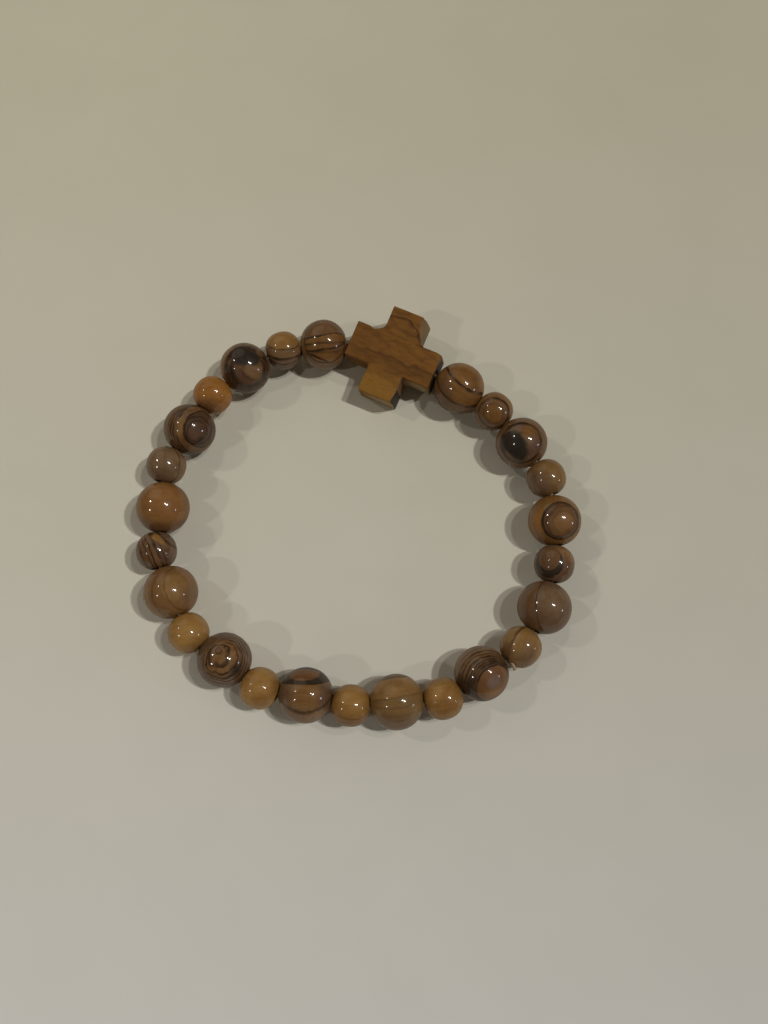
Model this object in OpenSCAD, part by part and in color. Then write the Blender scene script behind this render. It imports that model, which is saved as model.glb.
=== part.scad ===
// Rosary bracelet: turned olive wood beads and a drilled wooden cross on a knotted elastic cord.
// Millimetres, +Z up. It lies as it was laid down on a flat surface, which is Z = 0, and the origin
// is under the middle of the whole bracelet.

/* [Beads] */
// Diameter of a large bead
large_d = 8; // [7:0.5:12]
// Diameter of the flat round each mouth of a large bead
large_flat_d = 3; // [2.6:0.1:4]
// Diameter of a small bead
small_d = 6; // [5:0.5:8]
// Diameter of the flat round each mouth of a small bead
small_flat_d = 3.2; // [2.6:0.1:4]
// Number of beads, large and small in turn
bead_count = 25; // [17:2:35]
// Diameter of the hole drilled through the beads and the cross
bore_d = 1.8; // [1.6:0.1:2.4]
// Clearance between neighbours on the elastic, where they come closest
bead_gap = 0.1; // [0.1:0.05:0.5]
// More room that the string leaves between the cross and the first bead
first_room = 0.4; // [0:0.1:1]

/* [Cross] */
// Length of the drilled bar
bar_len = 14; // [10:0.2:24]
// Height of the drilled bar
bar_h = 5.6; // [4:0.2:8]
// Length of the upright
upright_len = 14.2; // [10:0.2:24]
// Width of the upright
upright_w = 5.7; // [4:0.1:8]
// Thickness of the cross
cross_t = 4.8; // [3.6:0.1:7]
// Degrees that the cross is turned out of line with its two neighbours
cross_turn = -5; // [-12:1:0]
// How far the cross hangs below the bores of the beads
cross_sag = 0.3; // [0:0.05:0.4]

/* [Elastic] */
// Diameter of the elastic cord
elastic_d = 0.5; // [0.4:0.1:0.8]
// Diameter of the knot that closes it, inside a bore
knot_d = 1.2; // [0.9:0.1:1.4]
// How far the trimmed end stands out from the middle of the string
tail_len = 2.4; // [1:0.1:3.5]

/* [Hidden] */
$fn = 64;

// The string as it was laid, clockwise from above: the cross, then one place for each bead.
route = [
    [1.5, 24],
    [10.5, 19.5], [16.5, 15.5], [21, 10], [24.5, 4.5], [25.5, -2.5],
    [25, -9.5], [23, -16], [19.5, -21], [14, -24.5], [8.5, -28],
    [1.5, -28.5], [-5, -29], [-11.5, -27.5], [-18, -26.5], [-23, -22.5],
    [-28.5, -18.5], [-31, -13], [-33.5, -7], [-33, -0.5], [-33, 6],
    [-30, 11.5], [-27, 17], [-22.5, 21.5], [-16, 25], [-8.5, 26]
];

// Wood of each bead in turn, from the first after the cross.
woods = [
    "#8f5f33", "#9a6c3c", "#6b4a2c", "#b58a50", "#a56a34",
    "#7a4c28", "#8a6a44", "#b3864c", "#7d5534", "#bd8a4a",
    "#a17a48", "#bb8444", "#84562e", "#b98548", "#6e4a2e",
    "#c49350", "#9c7040", "#6f4a2c", "#a8713a", "#8f7048",
    "#7a5230", "#b87a3c", "#4f3826", "#8e6034", "#96683a"
];
cross_wood = "#a56c2c";
elastic_white = "#e6dcc6";

// Clearance that the elastic and its trimmed end keep from the beads.
elastic_clear = 0.12;

// The bead whose bore holds the knot. The trimmed end leaves after it.
knot_in = 8;

// Pieces on the string are numbered as they follow each other: the cross is 0, the beads follow.
pieces = bead_count + 1;
function next(i) = (i + 1) % pieces;
function previous(i) = (i + pieces - 1) % pieces;
function bead_name(i) = str("bead_", i < 10 ? "0" : "", i);
function is_large(i) = i % 2 == 1;
function bead_d(i) = is_large(i) ? large_d : small_d;
function flat_d(i) = is_large(i) ? large_flat_d : small_flat_d;
function half_len(i) = i == 0 ? bar_len / 2 : sqrt(pow(bead_d(i), 2) - pow(flat_d(i), 2)) / 2;

// Heights. The large beads rest on the surface and carry the others in line; the cross hangs a
// little lower and leans back until the foot of its upright meets the surface.
line_z = max(large_d, small_d) / 2;
cross_z = max(line_z - cross_sag, cross_t / 2);
upright_reach = norm([upright_len, cross_t]) / 2;
cross_lean = asin(min(1, cross_z / upright_reach)) - atan(cross_t / upright_len);
function bore_z(i) = i == 0 ? cross_z : line_z;

function unit(v) = v / norm(v);
function turned(v, a) = [v.x * cos(a) - v.y * sin(a), v.x * sin(a) + v.y * cos(a)];
function angle_between(u, v) = acos(max(-1, min(1, u * v)));
function sums(list) = [
    for (i = 0, sum = 0; i <= len(list); sum = sum + (i < len(list) ? list[i] : 0), i = i + 1)
        sum
];

// The route as one smooth closed curve, with its length so far at every step.
steps = 8;
function route_at(k) = route[(k + len(route)) % len(route)];
function smooth(a, b, c, d, t) =
    (2 * b + (c - a) * t + (2 * a - 5 * b + 4 * c - d) * pow(t, 2) + (3 * b - a - 3 * c + d) * pow(t, 3)) / 2;
curve = [
    for (k = [0 : len(route)], s = [0 : steps - 1])
        if (k < len(route) || s == 0)
            smooth(route_at(k - 1), route_at(k), route_at(k + 1), route_at(k + 2), s / steps)
];
run = sums([for (k = [1 : len(curve) - 1]) norm(curve[k] - curve[k - 1])]);
curve_x = [for (k = [0 : len(run) - 1]) [run[k], curve[k].x]];
curve_y = [for (k = [0 : len(run) - 1]) [run[k], curve[k].y]];
function on_curve(s) = [lookup(s, curve_x), lookup(s, curve_y)];

// Each piece's place for a list of pitches, from one piece's middle to the next.
function laid(pitches) = let (ends = sums(pitches))
    [for (i = [0 : pieces - 1]) on_curve(ends[i] / ends[pieces] * run[len(run) - 1])];

// The way each bore points: the cross turned out of line, a bead towards its two neighbours.
function headings(at) = let (along = turned(unit(at[1] - at[bead_count]), cross_turn)) [
    along,
    for (i = [1 : bead_count])
        unit((i == bead_count ? at[0] - along * bar_len / 2 : at[i + 1])
            - (i == 1 ? at[0] + along * bar_len / 2 : at[i - 1]))
];

// How far a bead reaches from its middle in a direction at an angle to its bore.
function reach(i, angle) =
    angle > asin(flat_d(i) / bead_d(i))
        ? bead_d(i) / 2
        : half_len(i) * cos(angle) + flat_d(i) / 2 * sin(angle);

// The distance from bead i to bead j, along their mean heading, that leaves the trimmed end its room
// between their flats. Flats that close towards the outside of the loop by an angle need more.
function tail_pitch(i, j, closing) =
    (half_len(i) + half_len(j)) * cos(closing / 2) + elastic_d + 2 * elastic_clear
        + max(large_flat_d, small_flat_d) * sin(max(0, closing) / 2);

// The pitches at which neighbours with these places just clear each other.
function clear_pitches(at) = let (heads = headings(at)) [
    for (i = [0 : pieces - 1])
        let (
            j = next(i),
            line = unit(at[j] - at[i]),
            a = angle_between(heads[i], line),
            b = angle_between(heads[j], line)
        )
            i * j == 0
                ? (bar_len / 2 + reach(i + j, angle_between(heads[0], heads[i + j])) + bead_gap)
                    / cos(i == 0 ? a : b) + (i == 0 ? first_room : 0)
                : max(
                    reach(i, a) + reach(j, b) + bead_gap,
                    i == knot_in
                        ? tail_pitch(i, j, asin(cross(heads[i], heads[j])))
                            / (unit(heads[i] + heads[j]) * line)
                        : 0
                )
];

// The pieces are laid with plain pitches, again with the clear ones, and the loop is then sized so
// that the closest pair has its clearance.
laid_once = laid([for (i = [0 : pieces - 1]) half_len(i) + half_len(next(i)) + bead_gap]);
laid_twice = laid(clear_pitches(laid_once));
needed = clear_pitches(laid_twice);
loop_size = max([for (i = [0 : pieces - 1]) needed[i] / norm(laid_twice[next(i)] - laid_twice[i])]);
heads = headings(laid_twice);

// The origin is under the middle of the box round all the beads and the cross.
function cross_corner(at, u, v, w) =
    at + heads[0] * u + turned(heads[0], 90) * (v * cos(cross_lean) - w * sin(cross_lean));
cross_corners = [
    for (way = [-0.5, 0.5], side = [-0.5, 0.5], face = [-0.5, 0.5])
        each [
            cross_corner(laid_twice[0] * loop_size, way * bar_len, side * bar_h, face * cross_t),
            cross_corner(laid_twice[0] * loop_size, way * upright_w, side * upright_len, face * cross_t)
        ]
];
bead_edges = [
    for (i = [1 : bead_count], way = [-1, 1])
        laid_twice[i] * loop_size + [1, 1] * way * bead_d(i) / 2
];
edges = concat(cross_corners, bead_edges);
edges_x = [for (p = edges) p.x];
edges_y = [for (p = edges) p.y];
middle = [min(edges_x) + max(edges_x), min(edges_y) + max(edges_y)] / 2;
function place(i) = concat(laid_twice[i] * loop_size - middle, bore_z(i));

// The elastic runs from mouth to mouth. Where two mouths lie out of line it leans towards the next
// one, as far as the bore lets it. The knot swells it in the middle of one bore. Each entry of the
// route is a point and the diameter there.
elastic_sides = 8;
most_lean = 0.3;
bore_slack = (bore_d - elastic_d) / 2 - elastic_clear;
knot_shape = [[-0.5, 0], [-0.3, 0.7], [0, 1], [0.3, 0.7], [0.5, 0]];
function heading_3d(i) = concat(heads[i], 0);
function mouth_in(i) = place(i) - heading_3d(i) * half_len(i);
function mouth_out(i) = place(i) + heading_3d(i) * half_len(i);
function leaning(from, to) = from + (to - from) * min(most_lean, bore_slack / norm(to - from));
elastic_route = [
    for (i = [0 : pieces - 1])
        each [
            [leaning(mouth_in(i), mouth_out(previous(i))), elastic_d],
            if (i == knot_in)
                for (share = knot_shape)
                    [
                        place(i) + heading_3d(i) * knot_d * share[0],
                        elastic_d + (knot_d - elastic_d) * share[1]
                    ],
            [leaning(mouth_out(i), mouth_in(next(i))), elastic_d]
        ]
];
rings = len(elastic_route);
function ring_middle(k) = elastic_route[(k + rings) % rings][0];
function elastic_ring(k) = let (
        along = unit(unit(ring_middle(k + 1) - ring_middle(k)) + unit(ring_middle(k) - ring_middle(k - 1))),
        side = unit(cross(along, [0, 0, 1])),
        up = cross(side, along)
    )
    [
        for (s = [0 : elastic_sides - 1])
            let (turn = 360 * s / elastic_sides)
                ring_middle(k) + elastic_route[k][1] / 2 * (side * cos(turn) + up * sin(turn))
    ];
elastic_points = [for (k = [0 : rings - 1]) each elastic_ring(k)];
function ring_point(k, s) = (k % rings) * elastic_sides + s % elastic_sides;
elastic_faces = [
    for (k = [0 : rings - 1], s = [0 : elastic_sides - 1])
        each [
            [ring_point(k, s), ring_point(k, s + 1), ring_point(k + 1, s)],
            [ring_point(k, s + 1), ring_point(k + 1, s + 1), ring_point(k + 1, s)]
        ]
];

// The trimmed end leaves the elastic midway between the two flats and points out of the loop.
tail_line = mouth_in(knot_in + 1) - mouth_out(knot_in);
tail_share = tail_line * heading_3d(knot_in + 1)
    / (tail_line * (heading_3d(knot_in) + heading_3d(knot_in + 1)));
tail_at = mouth_out(knot_in) + tail_line * tail_share;
tail_heading = heads[knot_in] + heads[knot_in + 1];
tail_angle = atan2(tail_heading.y, tail_heading.x);

// Moves a piece that is drawn round the origin, with its bore along X, to its place on the string.
module on_string(i) {
    translate(place(i)) rotate([0, 0, atan2(heads[i].y, heads[i].x)]) children();
}

// One turned bead: a ball cut flat at both mouths and drilled, turned from half of its section.
module bead(i) {
    color(woods[(i - 1) % len(woods)])
        on_string(i)
            rotate([0, 90, 0])
                rotate_extrude()
                    intersection() {
                        circle(d = bead_d(i));
                        translate([bore_d / 2, -half_len(i)]) square([bead_d(i), 2 * half_len(i)]);
                    }
}

// The cross, sawn from one board and drilled along its bar.
module wooden_cross() {
    color(cross_wood)
        on_string(0)
            rotate([cross_lean, 0, 0])
                difference() {
                    union() {
                        cube([bar_len, bar_h, cross_t], center = true);
                        cube([upright_w, upright_len, cross_t], center = true);
                    }
                    rotate([0, 90, 0]) cylinder(d = bore_d, h = bar_len + 2, center = true);
                }
}

// The elastic cord: one closed loop through every bore, with its knot and the knot's trimmed end.
module elastic() {
    color(elastic_white) {
        polyhedron(points = elastic_points, faces = elastic_faces, convexity = 10);
        translate(tail_at)
            rotate([0, 0, tail_angle])
                rotate([-90, 180 / elastic_sides, 0])
                    cylinder(d = elastic_d, h = tail_len, $fn = elastic_sides);
    }
}

wooden_cross();  // cross
elastic();
for (i = [1 : bead_count]) bead(i);
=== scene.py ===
import bmesh
import bpy
from math import asin, atan, atan2, copysign, cos, hypot, pi, radians, sin, sqrt
from mathutils import Matrix, Vector, noise


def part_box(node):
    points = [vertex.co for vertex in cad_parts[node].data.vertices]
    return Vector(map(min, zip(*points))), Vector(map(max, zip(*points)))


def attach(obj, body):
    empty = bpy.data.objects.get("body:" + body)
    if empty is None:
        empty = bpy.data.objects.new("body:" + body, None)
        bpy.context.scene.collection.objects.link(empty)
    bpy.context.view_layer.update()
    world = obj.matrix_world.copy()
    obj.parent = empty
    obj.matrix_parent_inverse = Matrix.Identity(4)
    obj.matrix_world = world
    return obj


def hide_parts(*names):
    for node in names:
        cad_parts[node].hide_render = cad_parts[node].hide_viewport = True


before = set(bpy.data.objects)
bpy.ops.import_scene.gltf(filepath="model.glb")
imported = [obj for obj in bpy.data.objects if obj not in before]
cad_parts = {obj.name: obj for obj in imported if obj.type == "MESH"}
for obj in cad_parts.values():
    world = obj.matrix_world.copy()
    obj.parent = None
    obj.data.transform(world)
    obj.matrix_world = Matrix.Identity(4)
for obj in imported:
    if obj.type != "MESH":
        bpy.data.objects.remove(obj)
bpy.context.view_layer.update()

# THE VIEW
# A telephone's plain wide lens, held a hand's breadth above the bracelet and leaning back a little
# towards the wearer, so that the round of beads fills the middle of an upright picture.
MM = 0.001
look_at = Vector((3.9, 0.3, 0.0)) * MM
lean_back = radians(13.4)
swing = radians(0.5)
camera_distance = 121.5 * MM
camera_turn = Matrix.Rotation(swing, 3, "Z") @ Matrix.Rotation(lean_back, 3, "X")
camera_at = look_at + camera_turn @ Vector((0, 0, camera_distance))
lens = bpy.data.cameras.new("telephone_lens")
lens.lens = 27
lens.sensor_width = 36
lens.clip_start = 5 * MM
lens.clip_end = 20
camera = bpy.data.objects.new("camera", lens)
camera.location = camera_at
camera.rotation_euler = (lean_back, 0, swing)
bpy.context.scene.collection.objects.link(camera)
bpy.context.scene.camera = camera
bpy.context.scene.view_settings.view_transform = "Standard"


# THE SHEET OF PAPER
# Plain uncoated paper on a table, lying flat under the beads. It is off white, with the faint cloudy
# unevenness of pressed fibres, and its colour holds painted warm light: darker and yellower towards the
# far side, and brighter on the left than on the right.
def colour(hex_code):
    """A colour as painters and screens give it, turned into the linear values that light has."""
    parts = [int(hex_code[i:i + 2], 16) / 255 for i in (1, 3, 5)]
    linear = [p / 12.92 if p <= 0.04045 else ((p + 0.055) / 1.055) ** 2.4 for p in parts]
    return (*linear, 1.0)


def add(tree, kind, wires=None, **settings):
    """One node with its settings. A wire is a socket of another node or a plain value."""
    made = tree.nodes.new(kind)
    for name, value in settings.items():
        setattr(made, name, value)
    for socket, value in (wires or {}).items():
        if isinstance(value, bpy.types.NodeSocket):
            tree.links.new(value, made.inputs[socket])
        else:
            made.inputs[socket].default_value = value
    return made


def fill_ramp(ramp_node, stops, interpolation="LINEAR"):
    """The stops of a colour ramp: each is a place from 0 to 1 and a colour."""
    ramp = ramp_node.color_ramp
    ramp.interpolation = interpolation
    while len(ramp.elements) > 1:
        ramp.elements.remove(ramp.elements[-1])
    ramp.elements[0].position = stops[0][0]
    ramp.elements[0].color = stops[0][1]
    for place, tint in stops[1:]:
        ramp.elements.new(place).color = tint


def blank_material(name):
    """A new material with its shader, ready for the nodes that make its finish."""
    material = bpy.data.materials.new(name)
    material.use_nodes = True
    tree = material.node_tree
    shader = tree.nodes["Principled BSDF"]
    return material, tree, shader


def object_from(shape, name, materials=()):
    """The finished bmesh as an object at the origin, with its place in its mesh."""
    mesh = bpy.data.meshes.new(name)
    shape.to_mesh(mesh)
    shape.free()
    for material in materials:
        mesh.materials.append(material)
    made = bpy.data.objects.new(name, mesh)
    bpy.context.scene.collection.objects.link(made)
    return made


paper_reach = 0.6
# Painted light: the paper's colour near the camera, in the middle and at the far side.
paper_far = "#d6d2be"
paper_middle = "#dedcd0"
paper_near = "#e8e7e6"
cloud_size = 14 * MM
fibre_size = 0.35 * MM

# Uncoated paper gives the eye an even, quite dull white: no gloss, and a tooth seen only up close.
paper, tree, shader = blank_material("uncoated_paper")
spot = add(tree, "ShaderNodeTexCoord")
along = add(tree, "ShaderNodeSeparateXYZ", {0: spot.outputs["Object"]})
share = add(tree, "ShaderNodeMapRange", {0: along.outputs["Y"], 1: -80 * MM, 2: 80 * MM})
clouds = add(tree, "ShaderNodeTexNoise",
             {"Vector": spot.outputs["Object"], "Scale": 1 / cloud_size, "Detail": 2.0})
fibres = add(tree, "ShaderNodeTexNoise",
             {"Vector": spot.outputs["Object"], "Scale": 1 / fibre_size, "Detail": 3.0})
# Painted light: whiter near the camera, darker and yellower towards the far side.
tint = add(tree, "ShaderNodeValToRGB", {0: share.outputs[0]})
fill_ramp(tint, [(0.0, colour(paper_near)), (0.42, colour(paper_middle)), (1.0, colour(paper_far))])
shade = add(tree, "ShaderNodeMapRange", {0: clouds.outputs[0], 3: 0.97, 4: 1.03})
# Painted light: the paper is painted brighter on the left and darker on the right.
painted_light_across = add(tree, "ShaderNodeMapRange", {0: along.outputs["X"], 1: -49 * MM, 2: 57 * MM, 3: 1.13, 4: 0.97})
shade = add(tree, "ShaderNodeMath", {0: shade.outputs[0], 1: painted_light_across.outputs[0]}, operation="MULTIPLY")
tone = add(tree, "ShaderNodeVectorMath", {0: tint.outputs[0], "Scale": shade.outputs[0]}, operation="SCALE")
tooth = add(tree, "ShaderNodeBump", {"Height": fibres.outputs[0], "Strength": 0.12, "Distance": 0.02 * MM})
tree.links.new(tone.outputs[0], shader.inputs["Base Color"])
tree.links.new(tooth.outputs[0], shader.inputs["Normal"])
shader.inputs["Roughness"].default_value = 0.85
shader.inputs["Specular IOR Level"].default_value = 0.2

shape = bmesh.new()
bmesh.ops.create_grid(shape, x_segments=8, y_segments=8, size=paper_reach)
sheet_of_paper = object_from(shape, "paper", [paper])

# THE LAMPS
# Small warm ceiling lamps: the main pair to the right throws the long shadows to the left, and two
# weaker ones on the left throw the faint shadows to the right. A dim window is low on the right, and a
# lit wall beyond the table fills the shadows.
room = bpy.data.worlds.new("room")
room.use_nodes = True
dim_room = room.node_tree.nodes["Background"]
dim_room.inputs["Color"].default_value = colour("#fff0d6")
dim_room.inputs["Strength"].default_value = 0.06
# Seen past the edge of the paper, the room is as pale as the paper is there.
ray = add(room.node_tree, "ShaderNodeLightPath")
pale_room = add(room.node_tree, "ShaderNodeBackground", {"Color": colour("#a8a28e"), "Strength": 1.0})
seen_room = add(room.node_tree, "ShaderNodeMixShader",
                {0: ray.outputs["Is Camera Ray"], 1: dim_room.outputs[0], 2: pale_room.outputs[0]})
room.node_tree.links.new(seen_room.outputs[0], room.node_tree.nodes["World Output"].inputs["Surface"])
bpy.context.scene.world = room


def lamp(name, towards, away, width, watts, tint):
    """A round lamp that shines on the bracelet from a direction and a distance."""
    light = bpy.data.lights.new(name, "AREA")
    light.shape = "DISK"
    light.size = width
    light.energy = watts
    light.color = colour(tint)[:3]
    made = bpy.data.objects.new(name, light)
    direction = Vector(towards).normalized()
    made.location = look_at + direction * away
    made.rotation_mode = "QUATERNION"
    made.rotation_quaternion = direction.to_track_quat("Z", "Y")
    bpy.context.scene.collection.objects.link(made)


lamp("ceiling_lamp", (0.52, 0.03, 0.855), 1.6, 0.07, 7.0, "#fffcf4")
lamp("ceiling_lamp_second", (0.40, 0.09, 0.91), 1.6, 0.07, 2.6, "#fffcf4")
lamp("left_lamp_low", (-0.66, -0.31, 0.68), 1.6, 0.07, 1.9, "#fffaf0")
lamp("left_lamp_high", (-0.63, 0.25, 0.735), 1.6, 0.07, 1.9, "#fffaf0")
lamp("window", (0.93, -0.2, 0.30), 1.0, 0.10, 0.4, "#e4eaff")
lamp("lit_wall", (-0.4, 0.72, 0.56), 1.6, 1.4, 2.1, "#fff2dc")


# THE TURNED BEADS
# Balls of olive wood turned on a small lathe, large and small in turn, faced at both mouths, drilled
# through and dipped in clear lacquer. Nothing holds them but the elastic that runs through them all.
large_radius, large_half, large_fullness = 4.0 * MM, 3.93 * MM, 2.05
small_radius, small_half, small_fullness = 3.0 * MM, 2.89 * MM, 2.2
mouth_radius = 1.15 * MM
bore_radius = 0.9 * MM
rim_easing = 0.11 * MM
mouth_reaming = 0.09 * MM
bar_half = 7.0 * MM
cross_turn = radians(-5)
bead_count = 25
# How much longer or shorter than the rest some beads were faced, at the end before and the end after.
uneven_ends = {0: (1.02, 1.0), 7: (1.0, 1.06), 24: (1.0, 0.93)}


def middle(node):
    """The middle of a CAD node's box, which is the middle of a bead and of the cross."""
    low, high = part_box(node)
    return (low + high) / 2


bead_names = [f"bead_{i:02d}" for i in range(1, bead_count + 1)]
cross_middle = middle("cross")
bead_middles = [middle(name) for name in bead_names]
string_line = bead_middles[0] - bead_middles[-1]
string_line.z = 0
bar_heading = Matrix.Rotation(cross_turn, 3, "Z") @ string_line.normalized()


def bead_heading(i):
    """The way the bore of bead i points: from the piece before it to the piece after it."""
    before = cross_middle + bar_heading * bar_half if i == 0 else bead_middles[i - 1]
    after = cross_middle - bar_heading * bar_half if i == bead_count - 1 else bead_middles[i + 1]
    line = after - before
    line.z = 0
    return line.normalized()


def turn_bead(name, centre, heading, radius, half, fullness, ends, number):
    """Half of the bead's section, spun round the bore, with its rims eased and its mouths reamed. Its
    half before the middle and its half after it are each as long as their share in ends says."""
    shape = bmesh.new()
    start = asin((mouth_radius / radius) ** (fullness / 2))
    first = shape.verts.new((-radius * cos(start), 0, radius * sin(start)))
    bmesh.ops.spin(shape, geom=[first], cent=(0, 0, 0), axis=(0, 1, 0), angle=pi - 2 * start, steps=32)
    for v in shape.verts:
        # The tool leaves the ball a little fuller than round beside the mouths.
        v.co.x = copysign(half * abs(v.co.x / radius) ** (2 / fullness), v.co.x)
        v.co.z = radius * (v.co.z / radius) ** (2 / fullness)
        v.co.x *= ends[1] if v.co.x > 0 else ends[0]
    open_ends = [v for v in shape.verts if len(v.link_edges) == 1]
    end_places = [v.co.x for v in open_ends]
    mouths = []
    for end in open_ends:
        inner = bmesh.ops.extrude_vert_indiv(shape, verts=[end])["verts"][0]
        inner.co.z = bore_radius
        mouths.append(inner)
    wall = shape.edges.new(mouths)
    bmesh.ops.subdivide_edges(shape, edges=[wall], cuts=5)
    bmesh.ops.spin(shape, geom=shape.verts[:] + shape.edges[:], cent=(0, 0, 0), axis=(1, 0, 0),
                   angle=2 * pi, steps=80, use_merge=True)
    bmesh.ops.remove_doubles(shape, verts=shape.verts, dist=0.001 * MM)
    bmesh.ops.recalc_face_normals(shape, faces=shape.faces)

    def circle(reach):
        return [e for e in shape.edges
                if all(min(abs(v.co.x - x) for x in end_places) < 1e-6
                       and abs(hypot(v.co.y, v.co.z) - reach) < 1e-6 for v in e.verts)]

    bmesh.ops.bevel(shape, geom=circle(mouth_radius), offset=rim_easing, offset_type="OFFSET", segments=3,
                    profile=0.5, affect="EDGES", material=-1)
    bmesh.ops.bevel(shape, geom=circle(bore_radius), offset=mouth_reaming, offset_type="OFFSET", segments=2,
                    profile=0.5, affect="EDGES", material=-1)
    for v in shape.verts:
        if hypot(v.co.y, v.co.z) > mouth_radius * 1.1:
            uneven = noise.noise(v.co / (2.2 * MM) + Vector((number * 7.3, 0, 0)))
            v.co *= 1 - 0.004 * (uneven + 1)
    place = Matrix.Translation(centre) @ heading.to_track_quat("X", "Z").to_matrix().to_4x4()
    bmesh.ops.transform(shape, matrix=place, verts=shape.verts)
    for face in shape.faces:
        face.smooth = True
    return object_from(shape, name)


# The woods that show in one bead or another, from the palest sapwood to the black heart.
olive_woods = {
    "gold": "#a77f46",
    "amber": "#97703c",
    "gold tan": "#957243",
    "ginger": "#a36f32",
    "honey": "#95693b",
    "tan": "#89653d",
    "olive tan": "#86673e",
    "pink tan": "#826344",
    "grey tan": "#7d6347",
    "dun": "#735943",
    "nut": "#845d30",
    "brown": "#745436",
    "umber": "#6d5038",
    "mauve": "#684d3d",
    "dusk": "#5a4230",
    "rust": "#785332",
    "scuffed": "#806c66",
    "black": "#2e2820",
    "line": "#342215",
}


def stroke(a, b, c, width, strength, far=None, side=None, sway=1.0, soft=0.03):
    """A growth line through three places as they are seen, and the wood on the side away from here."""
    return dict(points=(a, b, c), width=width, strength=strength, far=far, side=side, sway=sway, soft=soft)


def stain(at, reach, wood, sway=1.0, strength=0.0, width=0.05, soft=0.03):
    """A patch of another wood about a place as it is seen, with a line round it if it has strength. A few
    such patches are painted shade instead.
    """
    return dict(at=at, reach=reach, width=width, strength=strength, far=wood, side=None, sway=sway, soft=soft)


def ring(at, reach, width, strength, sway=1.0):
    """A growth line that closes round a place as it is seen."""
    return stain(at, reach, None, sway, strength, width)


def between(first, last, strokes):
    """Growth lines in between two others: each is its share of the way, its width and its strength."""
    made = []
    for share, width, strength in strokes:
        places = [tuple(p + (q - p) * share for p, q in zip(a, b)) for a, b in zip(first, last)]
        made.append(stroke(*places, width, strength))
    return made
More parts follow.
